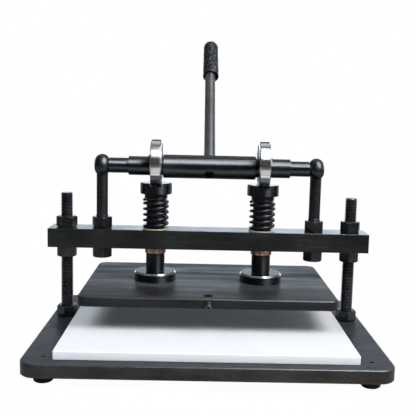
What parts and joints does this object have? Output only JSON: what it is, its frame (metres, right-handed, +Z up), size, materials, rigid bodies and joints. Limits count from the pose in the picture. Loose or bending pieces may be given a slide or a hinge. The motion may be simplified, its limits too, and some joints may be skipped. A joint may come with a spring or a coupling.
{
  "type": "manual die cutting machine",
  "caption": "Hand lever press that pushes steel rule dies through leather or card with a wide plate, driven by an eccentric shaft with ball bearings on sprung plungers.",
  "frame": {"origin": "on the floor, under the middle of the whole machine's outline", "axes": "+Z up; the operator stands on the -Y side, where the press plate's pin hole and clamp screw are; the shaft, the beam and the line of the columns run along X; the lever leans back towards +Y at rest"},
  "size_m": [0.424, 0.411, 0.4182],
  "materials": {
    "base_steel": "black oxide on milled plate, satin with worn edges",
    "plate_steel": "black oxide on ground plate, satin with brushed streaks",
    "beam_steel": "black oxide, satin, with a glossy top",
    "black_steel": "black oxide, satin",
    "shaft_steel": "black oxide, glossy",
    "spring_steel": "black oxide, oiled",
    "bearing_steel": "ground and polished",
    "ball_steel": "polished",
    "bronze": "turned",
    "white_board": "smooth, slightly worn",
    "grip_rubber": "raised pattern, matt",
    "foot_rubber": "matt"
  },
  "bodies": {
    "base": {"base_plate": "base_steel", "front_left_foot": "foot_rubber", "front_right_foot": "foot_rubber", "rear_left_foot": "foot_rubber", "rear_right_foot": "foot_rubber", "foot_screws": "black_steel", "left_column": "black_steel", "right_column": "black_steel", "column_base_nuts": "black_steel"},
    "cutting_board": {"cutting_board": "white_board"},
    "crosshead": {"crossbeam": "beam_steel", "column_lower_nuts": "black_steel", "column_upper_nuts": "black_steel", "eye_bolt_lower_nuts": "black_steel", "eye_bolt_upper_nuts": "black_steel", "left_bushing": "bronze", "right_bushing": "bronze", "left_eye_bolt": "black_steel", "right_eye_bolt": "black_steel", "left_spring": "spring_steel", "right_spring": "spring_steel"},
    "camshaft": {"eccentric_shaft": "shaft_steel", "lever_rod": "shaft_steel", "lever_grip": "grip_rubber", "left_bearing_inner_ring": "bearing_steel", "right_bearing_inner_ring": "bearing_steel"},
    "left_bearing": {"left_bearing_outer_ring": "bearing_steel", "left_bearing_shields": "bearing_steel"},
    "right_bearing": {"right_bearing_outer_ring": "bearing_steel", "right_bearing_shields": "bearing_steel"},
    "left_ball_set": {"left_bearing_balls": "ball_steel", "left_bearing_cage": "bearing_steel"},
    "right_ball_set": {"right_bearing_balls": "ball_steel", "right_bearing_cage": "bearing_steel"},
    "press": {"press_plate": "plate_steel", "clamp_screw": "black_steel", "plate_screws": "black_steel", "left_plunger": "black_steel", "right_plunger": "black_steel", "left_plunger_cap": "black_steel", "right_plunger_cap": "black_steel"}
  },
  "joints": [
    {"name": "board_slide", "type": "slide", "parent": "base", "child": "cutting_board", "axis": [0, -1, 0], "range_m": [0, 0.25]},
    {"name": "crosshead_height", "type": "slide", "parent": "base", "child": "crosshead", "axis": [0, 0, 1], "range_m": [-0.02, 0.03]},
    {"name": "lever", "type": "hinge", "parent": "crosshead", "child": "camshaft", "pos_m": [-0.0009, -0.01246, 0.2335], "axis": [1, 0, 0], "range_deg": [0, 133.5]},
    {"name": "left_bearing_spin", "type": "hinge", "parent": "camshaft", "child": "left_bearing", "pos_m": [-0.07125, -0.01246, 0.238], "axis": [1, 0, 0], "continuous": true},
    {"name": "left_balls_spin", "type": "hinge", "parent": "camshaft", "child": "left_ball_set", "pos_m": [-0.07125, -0.01246, 0.238], "axis": [1, 0, 0], "continuous": true},
    {"name": "right_bearing_spin", "type": "hinge", "parent": "camshaft", "child": "right_bearing", "pos_m": [0.07125, -0.01246, 0.238], "axis": [1, 0, 0], "continuous": true},
    {"name": "right_balls_spin", "type": "hinge", "parent": "camshaft", "child": "right_ball_set", "pos_m": [0.07125, -0.01246, 0.238], "axis": [1, 0, 0], "continuous": true},
    {"name": "press_slide", "type": "slide", "parent": "crosshead", "child": "press", "axis": [0, 0, 1], "range_m": [-0.0077, 0], "stiffness_N_per_m": 37000, "springref_m": 0.004, "deforming": ["left_spring", "right_spring"]}
  ],
  "couplings": [
    {"joint": "left_balls_spin", "follows": "left_bearing_spin", "ratio": 0.58247},
    {"joint": "right_balls_spin", "follows": "right_bearing_spin", "ratio": 0.58247},
    {"joint": "press_slide", "follows": "lever", "m_per_rad": -0.0032608}
  ]
}
